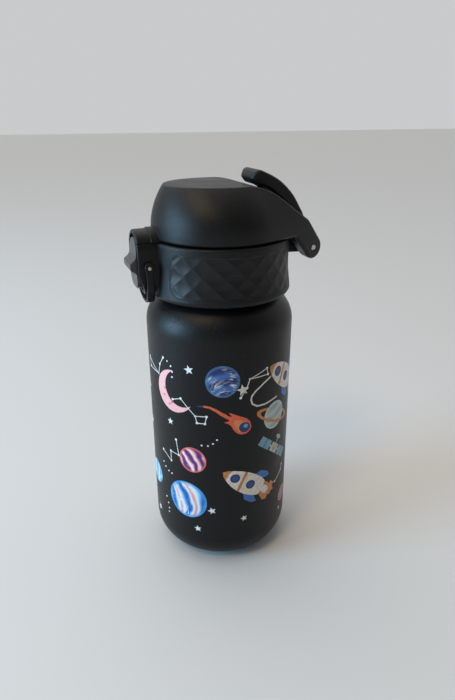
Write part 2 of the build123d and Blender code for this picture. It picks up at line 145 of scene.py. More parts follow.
def addRoomLight():
    data = bpy.data.lights.new("roomLight", "SUN")
    data.energy = roomLight["strength"]
    data.angle = math.radians(roomLight["angle"])
    data.color = roomLight["colour"]
    lamp = bpy.data.objects.new("roomLight", data)
    lamp.rotation_euler = aimed(roomLight["towards"])
    bpy.context.collection.objects.link(lamp)


def addRoom():
    # one side of the room is paler, like a wall behind the bottle
    world = bpy.data.worlds.new("paleRoom")
    world.use_nodes = True
    tree = world.node_tree
    direction = tree.nodes.new("ShaderNodeTexCoord").outputs["Generated"]
    facing = calculate(tree, "DOT_PRODUCT", direction, room["paleSide"],
                       kind="ShaderNodeVectorMath")
    background = tree.nodes["Background"]
    fill(tree, background.inputs["Strength"],
         stretched(tree, facing, room["edge"], room["strength"]))
    background.inputs["Color"].default_value = (*room["colour"], 1)
    bpy.context.scene.world = world


addCamera()
for name, look in areaLights.items():
    addAreaLight(name, look)
addRoomLight()
addRoom()
bpy.context.scene.view_settings.view_transform = "Standard"
print("camera and lights are in place")

# shared shader groups

grainShape = {"detail": 2.0, "rough": 0.6, "pitScale": 0.6, "pitSpan": (0.0, 0.35),
              "speckleSpan": (0.58, 0.72)}
smearShape = {"detail": 4.0, "rough": 0.55, "bend": 0.8, "dustScale": 420.0,
              "dustSpan": (0.02, 0.09), "patchSpan": (0.55, 0.75)}
edgeShape = {"samples": 6, "span": (0.995, 0.85)}
swirlShape = {"bandDetail": 2.0, "bandDetailScale": 1.2, "strokeStretch": (1.0, 0.22, 1.0),
              "strokeScale": 0.95, "strokeDetail": 3.0, "strokeRough": 0.65, "strokeBend": 0.8,
              "patchScale": 0.16, "patchDetail": 1.0, "rimSpan": (0.80, 0.98)}


def startGroup(name, inputs, outputs):
    group = bpy.data.node_groups.new(name, "ShaderNodeTree")
    for label, value in inputs.items():
        socket = group.interface.new_socket(name=label, in_out="INPUT",
                                            socket_type="NodeSocketFloat")
        socket.default_value = value
    for label, kind in outputs.items():
        group.interface.new_socket(name=label, in_out="OUTPUT", socket_type=kind)
    return group, group.nodes.new("NodeGroupInput"), group.nodes.new("NodeGroupOutput")


def makeFineGrain():
    # spark-eroded or powder-coated grain: Size is in millimetres
    group, into, out = startGroup("fineGrain", {"Size": 0.4, "Pits": 0.3},
                                  {"Height": "NodeSocketFloat", "Speckle": "NodeSocketFloat"})
    place = objectPlace(group)
    scale = calculate(group, "DIVIDE", 1 / mm, into.outputs["Size"])
    grain = addNode(group, "ShaderNodeTexNoise", Vector=place, Scale=scale,
                    Detail=grainShape["detail"], Roughness=grainShape["rough"])
    pitScale = calculate(group, "MULTIPLY", scale, grainShape["pitScale"])
    pits = addNode(group, "ShaderNodeTexVoronoi", Vector=place, Scale=pitScale)
    pit = stretched(group, pits.outputs["Distance"], grainShape["pitSpan"], (1.0, 0.0))
    depth = calculate(group, "MULTIPLY", pit, into.outputs["Pits"])
    height = calculate(group, "SUBTRACT", grain.outputs["Fac"], depth)
    speckle = stretched(group, grain.outputs["Fac"], grainShape["speckleSpan"])
    group.links.new(height, out.inputs["Height"])
    group.links.new(speckle, out.inputs["Speckle"])
    return group


def makeHandling():
    # soft smears and fine dust left by hands: Size is in millimetres
    group, into, out = startGroup("handling", {"Size": 22.0, "Dust": 0.4},
                                  {"Smear": "NodeSocketFloat", "Dust": "NodeSocketFloat"})
    place = objectPlace(group)
    scale = calculate(group, "DIVIDE", 1 / mm, into.outputs["Size"])
    smear = addNode(group, "ShaderNodeTexNoise", Vector=place, Scale=scale,
                    Detail=smearShape["detail"], Roughness=smearShape["rough"],
                    Distortion=smearShape["bend"])
    dots = addNode(group, "ShaderNodeTexVoronoi", Vector=place, Scale=smearShape["dustScale"])
    dot = stretched(group, dots.outputs["Distance"], smearShape["dustSpan"], (1.0, 0.0))
    patch = stretched(group, smear.outputs["Fac"], smearShape["patchSpan"])
    dust = calculate(group, "MULTIPLY", dot, patch)
    dust = calculate(group, "MULTIPLY", dust, into.outputs["Dust"])
    group.links.new(smear.outputs["Fac"], out.inputs["Smear"])
    group.links.new(dust, out.inputs["Dust"])
    return group


def makeSoftEdge():
    # rounds a moulded edge's shading and gives a mask along it: Radius is in millimetres
    group, into, out = startGroup("softEdge", {"Radius": 0.3},
                                  {"Normal": "NodeSocketVector", "Edge": "NodeSocketFloat"})
    radius = calculate(group, "MULTIPLY", into.outputs["Radius"], mm)
    bevel = addNode(group, "ShaderNodeBevel", {"samples": edgeShape["samples"]}, Radius=radius)
    true = group.nodes.new("ShaderNodeNewGeometry").outputs["Normal"]
    along = calculate(group, "DOT_PRODUCT", bevel.outputs[0], true, kind="ShaderNodeVectorMath")
    group.links.new(bevel.outputs[0], out.inputs["Normal"])
    group.links.new(stretched(group, along, edgeShape["span"]), out.inputs["Edge"])
    return group


def makeSwirl():
    # bent bands and brush strokes for the printed planets, in the print's own UV millimetres
    group, into, out = startGroup("swirl", {"Bands": 0.3, "Warp": 3.0, "Turn": 0.0, "Bend": 0.0,
                                            "Seed": 0.0, "Reach": 8.0},
                                  {"Band": "NodeSocketFloat", "Stroke": "NodeSocketFloat",
                                   "Patch": "NodeSocketFloat", "Rim": "NodeSocketFloat"})
    flat = flatPlace(group)
    turned = addNode(group, "ShaderNodeVectorRotate", {"rotation_type": "Z_AXIS"}, Vector=flat,
                     Angle=into.outputs["Turn"])
    split = addNode(group, "ShaderNodeSeparateXYZ", Vector=turned.outputs[0])
    squared = calculate(group, "MULTIPLY", split.outputs["Y"], split.outputs["Y"])
    bow = calculate(group, "MULTIPLY", squared, into.outputs["Bend"])
    across = calculate(group, "ADD", split.outputs["X"], bow)
    bent = addNode(group, "ShaderNodeCombineXYZ", X=across, Y=split.outputs["Y"],
                   Z=into.outputs["Seed"]).outputs[0]
    wave = addNode(group, "ShaderNodeTexWave", {"bands_direction": "X"}, Vector=bent,
                   Scale=into.outputs["Bands"], Distortion=into.outputs["Warp"],
                   Detail=swirlShape["bandDetail"], DetailScale=swirlShape["bandDetailScale"])
    along = addNode(group, "ShaderNodeMapping", Vector=bent, Scale=swirlShape["strokeStretch"])
    stroke = addNode(group, "ShaderNodeTexNoise", Vector=along.outputs[0],
                     Scale=swirlShape["strokeScale"], Detail=swirlShape["strokeDetail"],
                     Roughness=swirlShape["strokeRough"], Distortion=swirlShape["strokeBend"])
    patch = addNode(group, "ShaderNodeTexNoise", Vector=bent, Scale=swirlShape["patchScale"],
                    Detail=swirlShape["patchDetail"])
    length = calculate(group, "LENGTH", flat, kind="ShaderNodeVectorMath")
    share = calculate(group, "DIVIDE", length, into.outputs["Reach"])
    group.links.new(wave.outputs["Fac"], out.inputs["Band"])
    group.links.new(stroke.outputs["Fac"], out.inputs["Stroke"])
    group.links.new(patch.outputs["Fac"], out.inputs["Patch"])
    group.links.new(stretched(group, share, swirlShape["rimSpan"]), out.inputs["Rim"])
    return group


groups = {"fineGrain": makeFineGrain(), "handling": makeHandling(), "softEdge": makeSoftEdge(),
          "swirl": makeSwirl()}


def useGroup(tree, name, **values):
    node = tree.nodes.new("ShaderNodeGroup")
    node.node_tree = groups[name]
    for key, value in values.items():
        node.inputs[key].default_value = value
    return node.outputs


# finishes: grain, bump and edge are in millimetres

usualLook = {"pits": 0.3, "dust": 0.4, "smear": 22.0, "smearSpan": (0.3, 0.7),
             "bumpStrength": 0.6, "edge": 0.0, "specular": 0.5, "coat": 0.0, "coatRough": 0.25,
             "subsurface": 0.0, "dustColour": (0.35, 0.34, 0.32)}
# worn is the edge colour: partly rubbed wear, partly a painted highlight along the rounded edges
plastics = {
    "lidPlastic": {"colour": (0.0042, 0.0042, 0.0046), "fleck": (0.010, 0.010, 0.011),
                   "worn": (0.020, 0.020, 0.021), "grain": 0.45, "bump": 0.16, "rough": 0.42,
                   "vary": 0.05, "edge": 0.35, "pits": 0.25, "specular": 0.27},
    "powderCoat": {"colour": (0.0038, 0.0038, 0.0042), "fleck": (0.012, 0.012, 0.013),
                   "worn": (0.016, 0.016, 0.017), "grain": 0.48, "bump": 0.16, "rough": 0.38,
                   "vary": 0.05, "edge": 0.3, "specular": 0.23},
    "gripRubber": {"colour": (0.005, 0.0052, 0.0056), "fleck": (0.007, 0.007, 0.0075),
                   "worn": (0.012, 0.012, 0.0125), "grain": 0.18, "bump": 0.012, "rough": 0.44,
                   "vary": 0.06, "edge": 0.2, "dust": 0.8, "specular": 0.30},
    "buttonPlastic": {"colour": (0.030, 0.030, 0.030), "fleck": (0.038, 0.038, 0.039),
                      "worn": (0.06, 0.06, 0.06), "grain": 0.25, "bump": 0.02, "rough": 0.30,
                      "vary": 0.05, "edge": 0.3},
    "spoutPlastic": {"colour": (0.018, 0.018, 0.020), "fleck": (0.022, 0.022, 0.024),
                     "worn": (0.04, 0.04, 0.04), "grain": 0.2, "bump": 0.012, "rough": 0.34,
                     "vary": 0.04, "edge": 0.3, "coat": 0.15},
    "clearSilicone": {"colour": (0.30, 0.31, 0.33), "fleck": (0.34, 0.35, 0.37),
                      "worn": (0.42, 0.43, 0.45), "grain": 0.3, "bump": 0.015, "rough": 0.5,
                      "vary": 0.06, "edge": 0.25, "dust": 0.5, "subsurface": 0.2},
}
metals = {
    "brushedSteel": {"colour": (0.62, 0.61, 0.59), "dark": (0.48, 0.47, 0.46),
                     "stretch": (1.0, 1.0, 0.04), "lines": 900.0, "lineDetail": 3.0,
                     "grain": 0.2, "bump": 0.004, "rough": 0.30, "vary": 0.06, "edge": 0.2},
    "pinMetal": {"colour": (0.66, 0.56, 0.38), "dark": (0.46, 0.38, 0.26),
                 "stretch": (1.0, 1.0, 1.0), "lines": 900.0, "lineDetail": 3.0,
                 "grain": 0.2, "bump": 0.006, "rough": 0.32, "vary": 0.06, "edge": 0.2},
}
nodeFinish = {
    "outer_shell": "powderCoat", "base_disc": "powderCoat", "inner_flask": "brushedSteel",
    "vacuum_base": "brushedSteel", "getter": "brushedSteel", "neck_gasket": "clearSilicone",
    "spout_insert": "lidPlastic", "spout": "spoutPlastic", "vent_valve": "clearSilicone",
    "lid_collar": "lidPlastic", "grip_panel_right": "gripRubber",
    "grip_panel_left": "gripRubber", "cap_shell": "lidPlastic", "cap_liner": "spoutPlastic",
    "spout_seal": "clearSilicone", "hinge_pin": "brushedSteel", "lid_spring": "brushedSteel",
    "carry_loop": "lidPlastic", "latch_button": "buttonPlastic",
    "latch_spring": "brushedSteel", "latch_pin": "pinMetal", "lock_bail": "lidPlastic",
}


def startMaterial(name):
    material = bpy.data.materials.new(name)
    material.use_nodes = True
    tree = material.node_tree
    return material, tree, tree.nodes["Principled BSDF"]


def finishSurface(tree, shader, look):
    # grain, softened edges and smears shared by every moulded, coated, printed or metal surface
    grain = useGroup(tree, "fineGrain", Size=look["grain"], Pits=look["pits"])
    marks = useGroup(tree, "handling", Size=look["smear"], Dust=look["dust"])
    shine = stretched(tree, marks["Smear"], look["smearSpan"],
                      (look["rough"] - look["vary"], look["rough"] + look["vary"]))
    tree.links.new(shine, shader.inputs["Roughness"])
    bump = addNode(tree, "ShaderNodeBump", Height=grain["Height"],
                   Strength=look["bumpStrength"], Distance=look["bump"] * mm)
    if look["edge"]:
        soft = useGroup(tree, "softEdge", Radius=look["edge"])
        tree.links.new(soft["Normal"], bump.inputs["Normal"])
    tree.links.new(bump.outputs[0], shader.inputs["Normal"])
    return grain, marks


def moulded(name, choices):
    look = {**usualLook, **choices}
    material, tree, shader = startMaterial(name)
    grain, marks = finishSurface(tree, shader, look)
    colour = mixColour(tree, grain["Speckle"], look["colour"], look["fleck"])
    soft = useGroup(tree, "softEdge", Radius=look["edge"])
    # edges get a lighter colour: partly rubbed wear, partly a painted highlight where the
    # rounded edges catch the light
    colour = mixColour(tree, soft["Edge"], colour, look["worn"])
    colour = mixColour(tree, marks["Dust"], colour, look["dustColour"])
    tree.links.new(colour, shader.inputs["Base Color"])
    shader.inputs["Specular IOR Level"].default_value = look["specular"]
    shader.inputs["Subsurface Weight"].default_value = look["subsurface"]
    if look["coat"]:
        shader.inputs["Coat Weight"].default_value = look["coat"]
        shader.inputs["Coat Roughness"].default_value = look["coatRough"]
    return material


def metal(name, choices):
    look = {**usualLook, **choices}
    material, tree, shader = startMaterial(name)
    shader.inputs["Metallic"].default_value = 1.0
    finishSurface(tree, shader, look)
    drawn = addNode(tree, "ShaderNodeMapping", Vector=objectPlace(tree), Scale=look["stretch"])
    brushed = addNode(tree, "ShaderNodeTexNoise", Vector=drawn.outputs[0], Scale=look["lines"],
                      Detail=look["lineDetail"])
    colour = mixColour(tree, brushed.outputs["Fac"], look["colour"], look["dark"])
    tree.links.new(colour, shader.inputs["Base Color"])
    return material


finishes = {name: moulded(name, look) for name, look in plastics.items()}
finishes.update((name, metal(name, look)) for name, look in metals.items())
for node, finish in nodeFinish.items():
    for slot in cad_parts[node].material_slots:
        slot.material = finishes[finish]
print("finishes are on the CAD nodes")


def addPiece(name, bm, materials, body):
    mesh = bpy.data.meshes.new(name)
    bm.to_mesh(mesh)
    bm.free()
    for material in materials:
        mesh.materials.append(material)
    piece = bpy.data.objects.new(name, mesh)
    bpy.context.collection.objects.link(piece)
    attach(piece, body)
    return piece


# faceted grip panels: start and end are degrees round the collar, sizes are in millimetres

grip = {"start": 28.5, "end": 152.0, "corner": 6.0, "thickness": 1.1, "columns": 220, "rows": 72,
        "diamondWide": 9.4, "diamondTall": 8.6, "scoop": 0.30, "rim": 0.9, "edgeRound": 0.06,
        "fit": 0.06, "flareShare": 0.55, "flarePower": 1.5}


def pastStraight(x, y, half):
    # how far a place lies past the straight part of each side
    return abs(x) - (half[0] - grip["corner"]), abs(y) - (half[1] - grip["corner"])


def roundedPlace(x, y, half):
    # pulls a rectangle's corner squares into quarter discs
    dx, dy = pastStraight(x, y, half)
    if dx > 0 and dy > 0:
        pull = max(dx, dy) / math.hypot(dx, dy)
        x = math.copysign(half[0] - grip["corner"] + dx * pull, x)
        y = math.copysign(half[1] - grip["corner"] + dy * pull, y)
    return x, y


def insideDepth(x, y, half):
    # distance inwards from the rounded rectangle's edge
    dx, dy = pastStraight(x, y, half)
    outside = math.hypot(max(dx, 0), max(dy, 0)) + min(max(dx, dy), 0)
    return grip["corner"] - outside


def smoothStep(value):
    value = min(max(value, 0.0), 1.0)
    return value * value * (3 - 2 * value)


def zigzag(value):
    # runs from 1 to 0 and back to 1 over each length of 2
    return 2 * abs(value / 2 - math.floor(value / 2) - 0.5)


def gripDip(x, y, half):
    # how deep a place lies under the panel's outer face
    p = zigzag(2 * (x / grip["diamondWide"] + y / grip["diamondTall"]))
    q = zigzag(2 * (x / grip["diamondWide"] - y / grip["diamondTall"]))
    depth = insideDepth(x, y, half)
    fade = smoothStep((depth - grip["edgeRound"]) / grip["rim"])
    dip = grip["scoop"] * (1 - p * p) * (1 - q * q) * fade
    return dip + grip["edgeRound"] * (1 - smoothStep(depth / grip["edgeRound"]))


def gripReach(node):
    # the smooth panel's bottom and top, and its outer radius at each
    reach = {}
    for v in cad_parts[node].data.vertices:
        level = round(v.co.z / mm, 1)
        reach[level] = max(reach.get(level, 0), math.hypot(v.co.x, v.co.y) / mm)
    bottom, top = min(reach), max(reach)
    return bottom, top, reach[bottom], reach[top]


def makeGrip(name, side, node):
    bottom, top, bottomRadius, topRadius = gripReach(node)
    middleRadius = (bottomRadius + topRadius) / 2
    middleTurn = math.radians((grip["start"] + grip["end"]) / 2 - 90)
    half = (math.radians(grip["end"] - grip["start"]) / 2 * middleRadius + grip["fit"],
            (top - bottom) / 2 + grip["fit"])
    bm = bmesh.new()
    bmesh.ops.create_grid(bm, x_segments=grip["columns"], y_segments=grip["rows"], size=1.0)
    for v in bm.verts:
        x, y = roundedPlace(v.co.x * half[0], v.co.y * half[1], half)
        v.co = (x, y, -gripDip(x, y, half))
    made = bmesh.ops.extrude_face_region(bm, geom=bm.faces[:])
    for g in made["geom"]:
        if isinstance(g, bmesh.types.BMVert):
            g.co.z = -grip["thickness"]
    for v in bm.verts:
        share = (v.co.y + half[1]) / (2 * half[1])
        flare = max(0.0, 1 - share / grip["flareShare"]) ** grip["flarePower"]
        radius = (topRadius + (bottomRadius - topRadius) * flare + v.co.z) * mm
        turn = middleTurn + v.co.x / middleRadius
        v.co = (side * radius * math.cos(turn), radius * math.sin(turn),
                (bottom + top) / 2 * mm + v.co.y * mm)
    bmesh.ops.recalc_face_normals(bm, faces=bm.faces)
    for face in bm.faces:
        face.smooth = True
    piece = addPiece(name, bm, [finishes["gripRubber"]], "lid")
    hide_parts(node)


makeGrip("gripRight", 1, "grip_panel_right")
makeGrip("gripLeft", -1, "grip_panel_left")
print("grip panels are faceted")

# inks of the printed night sky: turn is degrees round the body, up and radius are millimetres

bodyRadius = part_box("outer_shell")[1].x / mm
ink = {"creamInk": (0.74, 0.71, 0.63), "whiteInk": (0.80, 0.80, 0.79),
       "orangeInk": (0.78, 0.26, 0.07), "redInk": (0.74, 0.12, 0.05),
       "navyInk": (0.012, 0.02, 0.14), "blueInk": (0.03, 0.16, 0.50),
       "skyInk": (0.17, 0.36, 0.48), "paleInk": (0.42, 0.52, 0.54),
       "amberInk": (0.58, 0.21, 0.05), "deepInk": (0.02, 0.07, 0.24),
       "lakeInk": (0.10, 0.34, 0.60)}
inkFinish = {**usualLook, "grain": 0.38, "bump": 0.03, "rough": 0.42, "vary": 0.05}
inkWear = {"scale": 700.0, "detail": 4.0, "rough": 0.7, "span": (0.42, 0.75), "darker": 0.62}
brushCover = (0.40, 0.60)
planets = {
    "Ocean": {"turn": -18.9, "up": 106.4, "radius": 7.8, "bands": 0.05, "warp": 3.0,
              "seed": 2.3, "lean": 72, "bend": -0.05, "brush": (0.50, 0.58),
              "colours": ((0.008, 0.015, 0.10), (0.012, 0.035, 0.20), (0.03, 0.14, 0.38)),
              "streak": (0.62, 0.66, 0.68), "rim": (0.03, 0.13, 0.30)},
    "Rose": {"turn": -43.4, "up": 63.6, "radius": 7.0, "bands": 0.065, "warp": 7.0,
             "seed": 7.0, "lean": -28, "bend": 0.035, "brush": (0.54, 0.60),
             "colours": ((0.03, 0.015, 0.20), (0.10, 0.03, 0.24), (0.66, 0.11, 0.09),
                         (0.85, 0.50, 0.34), (0.80, 0.74, 0.80)),
             "streak": (0.72, 0.16, 0.13), "rim": (0.66, 0.12, 0.10)},
    "Marble": {"turn": -49.4, "up": 39.2, "radius": 10.6, "bands": 0.034, "warp": 8.0,
               "seed": 11.0, "lean": -14, "bend": 0.03, "brush": (0.52, 0.60),
               "colours": ((0.006, 0.07, 0.32), (0.05, 0.28, 0.64), (0.30, 0.58, 0.76),
                           (0.76, 0.80, 0.82), (0.78, 0.26, 0.22)),
               "streak": (0.66, 0.74, 0.80), "rim": (0.03, 0.27, 0.60)},
    "Frost": {"turn": -89.5, "up": 44.2, "radius": 6.5, "bands": 0.06, "warp": 2.5,
              "seed": 15.0, "lean": 8, "bend": 0.04, "brush": (0.50, 0.60),
              "colours": ((0.05, 0.20, 0.50), (0.14, 0.40, 0.68), (0.52, 0.70, 0.78)),
              "streak": (0.62, 0.74, 0.80), "rim": (0.16, 0.42, 0.66)},
    "Ringed": {"turn": 27.0, "up": 83.0, "radius": 7.2, "bands": 0.06, "warp": 2.0,
               "seed": 19.0, "lean": 75, "bend": 0.03, "brush": (0.48, 0.62),
               "colours": ((0.24, 0.31, 0.31), (0.34, 0.42, 0.42), (0.44, 0.51, 0.50)),
               "streak": (0.50, 0.57, 0.56), "rim": (0.50, 0.58, 0.60)},
    "Violet": {"turn": 46.0, "up": 29.5, "radius": 4.6, "bands": 0.08, "warp": 2.0,
               "seed": 23.0, "lean": 40, "bend": 0.03, "brush": (0.52, 0.60),
               "colours": ((0.07, 0.05, 0.25), (0.16, 0.13, 0.42), (0.60, 0.22, 0.10)),
               "streak": (0.66, 0.40, 0.30), "rim": (0.55, 0.22, 0.10)},
}
moon = {"turn": -58.3, "up": 98.2, "radius": 10.6, "depth": 6.0, "opening": 29, "gap": 60,
        "spotScale": 0.33, "spotSpan": (0.16, 0.24), "shadeScale": 0.3, "shadeDetail": 3.0,
        "colours": ((0.86, 0.34, 0.36), (0.80, 0.52, 0.50)), "spot": (0.62, 0.10, 0.12)}


def plainInk(name, colour):
    material, tree, shader = startMaterial(name)
    finishSurface(tree, shader, inkFinish)
    flecks = addNode(tree, "ShaderNodeTexNoise", Vector=objectPlace(tree),
                     Scale=inkWear["scale"], Detail=inkWear["detail"],
                     Roughness=inkWear["rough"])
    thin = stretched(tree, flecks.outputs["Fac"], inkWear["span"])
    darker = tuple(c * inkWear["darker"] for c in colour)
    tree.links.new(mixColour(tree, thin, colour, darker), shader.inputs["Base Color"])
    return material


def planetInk(name, look):
    material, tree, shader = startMaterial(name)
    finishSurface(tree, shader, inkFinish)
    swirl = useGroup(tree, "swirl", Bands=look["bands"], Warp=look["warp"],
                     Turn=math.radians(look["lean"]), Bend=look["bend"], Seed=look["seed"],
                     Reach=look["radius"])
    ramp = addNode(tree, "ShaderNodeValToRGB", Fac=swirl["Band"])
    stops = ramp.color_ramp.elements
    while len(stops) < len(look["colours"]):
        stops.new(0.5)
    for i, colour in enumerate(look["colours"]):
        stops[i].position = i / (len(stops) - 1)
        stops[i].color = (*colour, 1)
    brush = stretched(tree, swirl["Stroke"], look["brush"])
    cover = stretched(tree, swirl["Patch"], brushCover)
    painted = calculate(tree, "MULTIPLY", brush, cover)
    colour = mixColour(tree, painted, ramp.outputs["Color"], look["streak"])
    colour = mixColour(tree, swirl["Rim"], colour, look["rim"])
    tree.links.new(colour, shader.inputs["Base Color"])
    return material


def moonInk():
    material, tree, shader = startMaterial("moonInk")
    finishSurface(tree, shader, inkFinish)
    flat = flatPlace(tree)
    spots = addNode(tree, "ShaderNodeTexVoronoi", Vector=flat, Scale=moon["spotScale"])
    spot = stretched(tree, spots.outputs["Distance"], moon["spotSpan"], (1.0, 0.0))
    shade = addNode(tree, "ShaderNodeTexNoise", Vector=flat, Scale=moon["shadeScale"],
                    Detail=moon["shadeDetail"])
    colour = mixColour(tree, shade.outputs["Fac"], *moon["colours"])
    colour = mixColour(tree, spot, colour, moon["spot"])
    tree.links.new(colour, shader.inputs["Base Color"])
    return material


inks = {name: plainInk(name, colour) for name, colour in ink.items()}
for name, look in planets.items():
    inks["planet" + name] = planetInk("planet" + name, look)
inks["moonInk"] = moonInk()

# outlines of the motifs, in millimetres


def turned(points, degrees):
    c, s = math.cos(math.radians(degrees)), math.sin(math.radians(degrees))
    return [(x * c - y * s, x * s + y * c) for x, y in points]


def disc(radius, u=0.0, v=0.0, squash=1.0, sides=48):
    angles = [2 * math.pi * i / sides for i in range(sides)]
    return [(u + radius * math.cos(a), v + radius * squash * math.sin(a)) for a in angles]


def starShape(radius, u, v, lean, waist=0.42, tips=5):
    points = []
    for i in range(2 * tips):
        a = math.radians(lean + 90 + 180 / tips * i)
        r = radius if i % 2 == 0 else radius * waist
        points.append((u + r * math.cos(a), v + r * math.sin(a)))
    return points


def lineShape(start, end, width):
    along = Vector((end[0] - start[0], end[1] - start[1])).normalized()
    across = Vector((-along.y, along.x)) * width / 2
    return [(start[0] + across.x, start[1] + across.y),
            (start[0] - across.x, start[1] - across.y),
            (end[0] - across.x, end[1] - across.y), (end[0] + across.x, end[1] + across.y)]


def crescent(radius, depth, opening, gap, steps=40):
    # outer arc, then back along the inner arc; gap is half the angle between the tips
    tip = math.radians(gap)
    tipX, tipY = radius * math.cos(tip), radius * math.sin(tip)
    back = radius - depth
    centre = (tipX ** 2 + tipY ** 2 - back ** 2) / (2 * (back + tipX))
    inner = centre + back
    innerTip = math.atan2(tipY, tipX - centre)
    points = []
    for i in range(steps + 1):
        a = tip + (2 * math.pi - 2 * tip) * i / steps
        points.append((radius * math.cos(a), radius * math.sin(a)))
    for i in range(1, steps):
        a = -innerTip - (2 * math.pi - 2 * innerTip) * i / steps
        points.append((centre + inner * math.cos(a), inner * math.sin(a)))
    return turned(points, opening)


# a motif is a list of (ink, outline about its centre, layer), with layer 0 at the bottom

rocket = {
    "body": [(-12.6, 0.0), (-10.9, 1.9), (-8.1, 3.5), (-4.4, 4.9), (-0.4, 5.7), (4.2, 5.8),
             (8.6, 5.2), (12.0, 4.0), (12.6, 0.0), (12.0, -4.0), (8.6, -5.2), (4.2, -5.8),
             (-0.4, -5.7), (-4.4, -4.9), (-8.1, -3.5), (-10.9, -1.9)],
    "nose": [(-12.6, 0.0), (-10.9, 1.9), (-8.9, 3.1), (-9.6, 0.0), (-8.9, -3.1), (-10.9, -1.9)],
    "band": [(-2.7, 5.25), (-1.1, 5.55), (0.7, -5.75), (-0.9, -5.6)],
    "fin": [(3.4, 5.4), (9.6, 4.8), (13.2, 7.3), (11.0, 8.9), (5.8, 8.6)],
    "flame": [(12.2, 3.4), (14.4, 3.6), (16.2, 2.8), (17.2, 4.6), (20.2, 4.0), (20.0, 2.0),
              (22.4, 0.4), (20.6, -0.8), (20.8, -2.6), (19.0, -3.0), (19.4, -5.2),
              (16.8, -6.2), (14.8, -5.0), (12.2, -3.6)],
    "core": [(12.4, 1.6), (14.6, 1.8), (16.6, 1.2), (17.8, -0.6), (16.6, -2.8), (14.8, -2.6),
             (12.4, -1.8)],
    "windows": (-5.4, 4.2), "window": 2.5, "pane": 1.6,
}
ring = {"outer": 1.75, "outerSquash": 0.3, "inner": 1.42, "innerSquash": 0.24, "lean": -24,
        "steps": 40}
cometShapes = [
    ("redInk", [(-18.4, 11.1), (-18.4, 12.0), (-15.6, 11.8), (-12.6, 10.5), (-10.4, 9.0),
                (-8.6, 8.0), (-7.0, 6.7), (-5.4, 6.3), (-6.9, 8.5), (-4.4, 7.5), (-2.4, 6.4),
                (-0.2, 5.4), (1.8, 4.3), (3.3, 2.5), (4.1, 0.0), (3.5, -2.3), (1.5, -3.7),
                (-1.0, -3.8), (-3.2, -2.7), (-4.8, -0.6), (-5.8, 1.5), (-7.2, 2.7),
                (-9.0, 3.4), (-7.0, 4.0), (-6.5, 4.5), (-8.8, 6.0), (-10.8, 7.4),
                (-12.9, 9.1), (-15.7, 10.7)], 0),
    ("navyInk", [(-21.8, 11.2), (-20.2, 11.9), (-18.2, 12.0), (-18.2, 11.1), (-20.0, 11.0)], 0),
    ("orangeInk", [(-4.2, 4.2), (-2.0, 4.0), (0.8, 3.4), (2.8, 1.6), (3.2, -0.6), (2.2, -2.4),
                   (0.2, -3.0), (-2.0, -2.2), (-3.6, 0.0), (-4.6, 2.4)], 1),
    ("navyInk", disc(2.7, 0.6, -0.1), 2),
    ("lakeInk", disc(1.1, 1.2, 0.6), 3),
]
satelliteShapes = [
    ("paleInk", [(-2.4, -1.8), (2.4, -1.8), (2.4, 1.8), (-2.4, 1.8)], 1),
    ("skyInk", [(-9.6, -1.9), (-3.3, -1.9), (-3.3, 1.9), (-9.6, 1.9)], 1),
    ("skyInk", [(3.3, -1.9), (9.6, -1.9), (9.6, 1.9), (3.3, 1.9)], 1),
    ("paleInk", lineShape((-3.4, 0), (3.4, 0), 0.7), 0),
    ("navyInk", lineShape((-6.5, -1.9), (-6.5, 1.9), 0.35), 2),
    ("navyInk", lineShape((6.5, -1.9), (6.5, 1.9), 0.35), 2),
    ("orangeInk", disc(1.1), 2),
    ("paleInk", lineShape((0, 1.8), (0, 4.2), 0.45), 0),
    ("paleInk", disc(1.7, 0, 4.6, squash=0.5), 1),
]


def resized(shapes, size, lean):
    return [(name, turned([(size * x, size * y) for x, y in points], lean), layer)
            for name, points, layer in shapes]


def moonShapes():
    outline = crescent(moon["radius"], moon["depth"], moon["opening"], moon["gap"])
    return [("moonInk", outline, 1)]


def rocketShapes(lean):
    shapes = [("blueInk", rocket["fin"], 0),
              ("blueInk", [(x, -y) for x, y in reversed(rocket["fin"])], 0),
              ("amberInk", rocket["flame"], 0), ("creamInk", rocket["core"], 1),
              ("creamInk", rocket["body"], 1), ("amberInk", rocket["nose"], 2),
              ("amberInk", rocket["band"], 2)]
    for x in rocket["windows"]:
        shapes += [("navyInk", disc(rocket["window"], x), 2),
                   ("deepInk", disc(rocket["pane"], x), 3)]
    return resized(shapes, 1.0, lean)


def ringedShapes(radius):
    # the ring's front half crosses the planet, and its back half is hidden behind
    steps = ring["steps"]
    outer = disc(radius * ring["outer"], squash=ring["outerSquash"], sides=steps)
    inner = disc(radius * ring["inner"], squash=ring["innerSquash"], sides=steps)
    shapes = [("planetRinged", disc(radius), 2)]
    for i in range(steps):
        j = (i + 1) % steps
        quad = [outer[i], outer[j], inner[j], inner[i]]
        shapes.append(("amberInk", turned(quad, ring["lean"]), 3 if i >= steps // 2 else 0))
    return shapes


def planetShapes(name, radius):
    if name == "Ringed":
        return ringedShapes(radius)
    return [("planet" + name, disc(radius, sides=64), 1)]


motifs = {name: {"turn": look["turn"], "up": look["up"],
                 "shapes": planetShapes(name, look["radius"])}
          for name, look in planets.items()}
motifs["Moon"] = {"turn": moon["turn"], "up": moon["up"], "shapes": moonShapes()}
motifs["RocketLow"] = {"turn": -2.0, "up": 51.0, "shapes": rocketShapes(-34)}
motifs["RocketHigh"] = {"turn": 36.5, "up": 102.5, "shapes": rocketShapes(-35)}
motifs["Satellite"] = {"turn": 28.0, "up": 64.0, "shapes": resized(satelliteShapes, 1.3, -40)}
motifs["Comet"] = {"turn": -3.2, "up": 82.2, "shapes": cometShapes}

# line work and stars are placed by (degrees round the body, height in millimetres)

